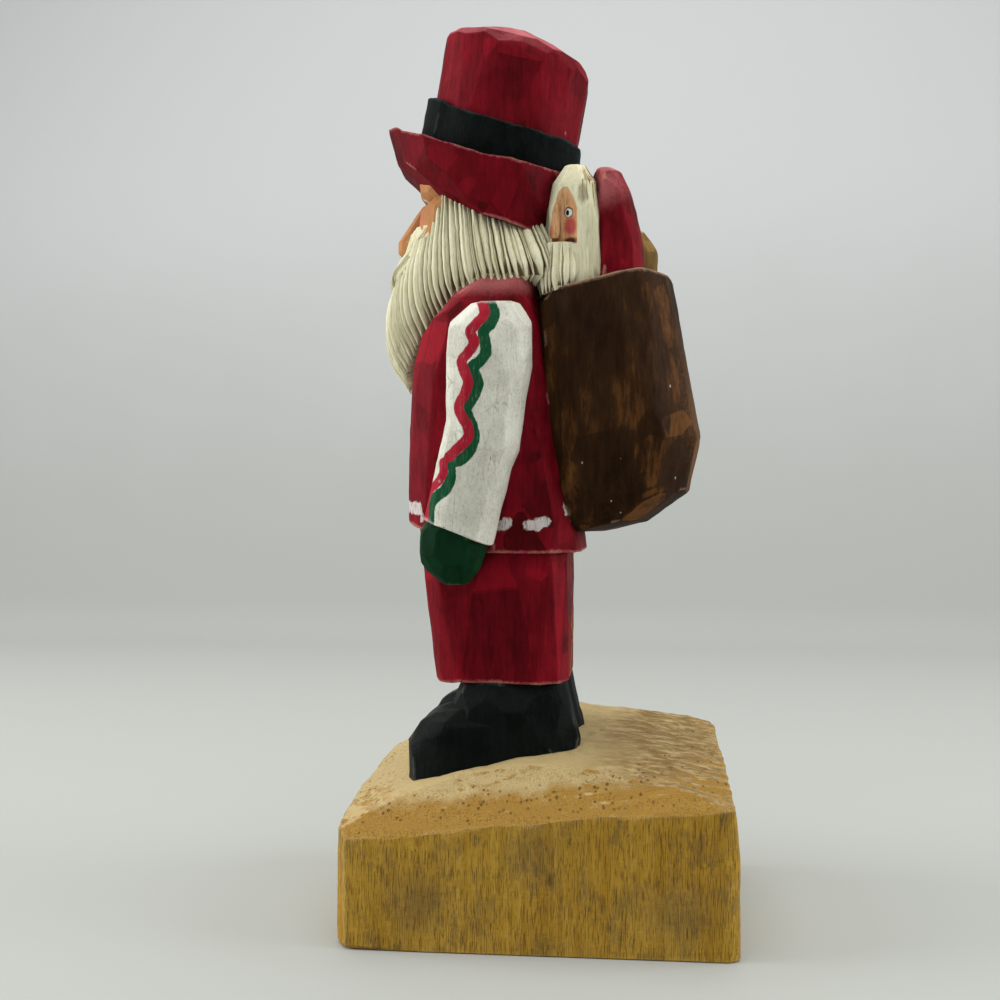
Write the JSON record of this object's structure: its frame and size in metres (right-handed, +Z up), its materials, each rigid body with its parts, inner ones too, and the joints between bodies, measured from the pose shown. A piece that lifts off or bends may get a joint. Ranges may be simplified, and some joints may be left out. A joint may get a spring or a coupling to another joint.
{
  "type": "carved santa figure",
  "caption": "Painted wooden Santa carved from one block, in a tilted top hat, with a full sack of toys on his back, standing on its uncarved foot.",
  "frame": {"origin": "centre of the underside of the wooden block, on the surface it stands on", "axes": "+Z up, the figure faces -Y and carries the sack on its +Y side, +X is the figure's left"},
  "size_m": [0.09, 0.103, 0.249],
  "materials": {
    "painted_wood": "satin"
  },
  "bodies": {
    "root": {"carved_santa": "painted_wood"}
  },
  "joints": []
}
